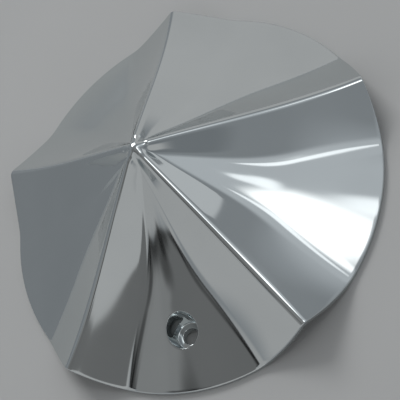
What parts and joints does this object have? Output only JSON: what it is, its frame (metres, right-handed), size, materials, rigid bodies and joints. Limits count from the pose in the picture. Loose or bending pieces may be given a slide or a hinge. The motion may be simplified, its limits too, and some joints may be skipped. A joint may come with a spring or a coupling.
{
  "type": "wheel center cap",
  "caption": "Round chromed wheel center cap with a pointed five-ridge face and one recessed screw pocket in a valley.",
  "frame": {"origin": "on the cap's axis, in the plane of the rim's seat", "axes": "+Z along the cap's axis towards the apex of its face; the screw pocket lies towards -Y and one ridge points along +Y"},
  "size_m": [0.1652, 0.1671, 0.0502],
  "materials": {
    "chrome": "bright chrome plating over a moulded plastic body"
  },
  "bodies": {
    "root": {"center_cap": "chrome"}
  },
  "joints": []
}
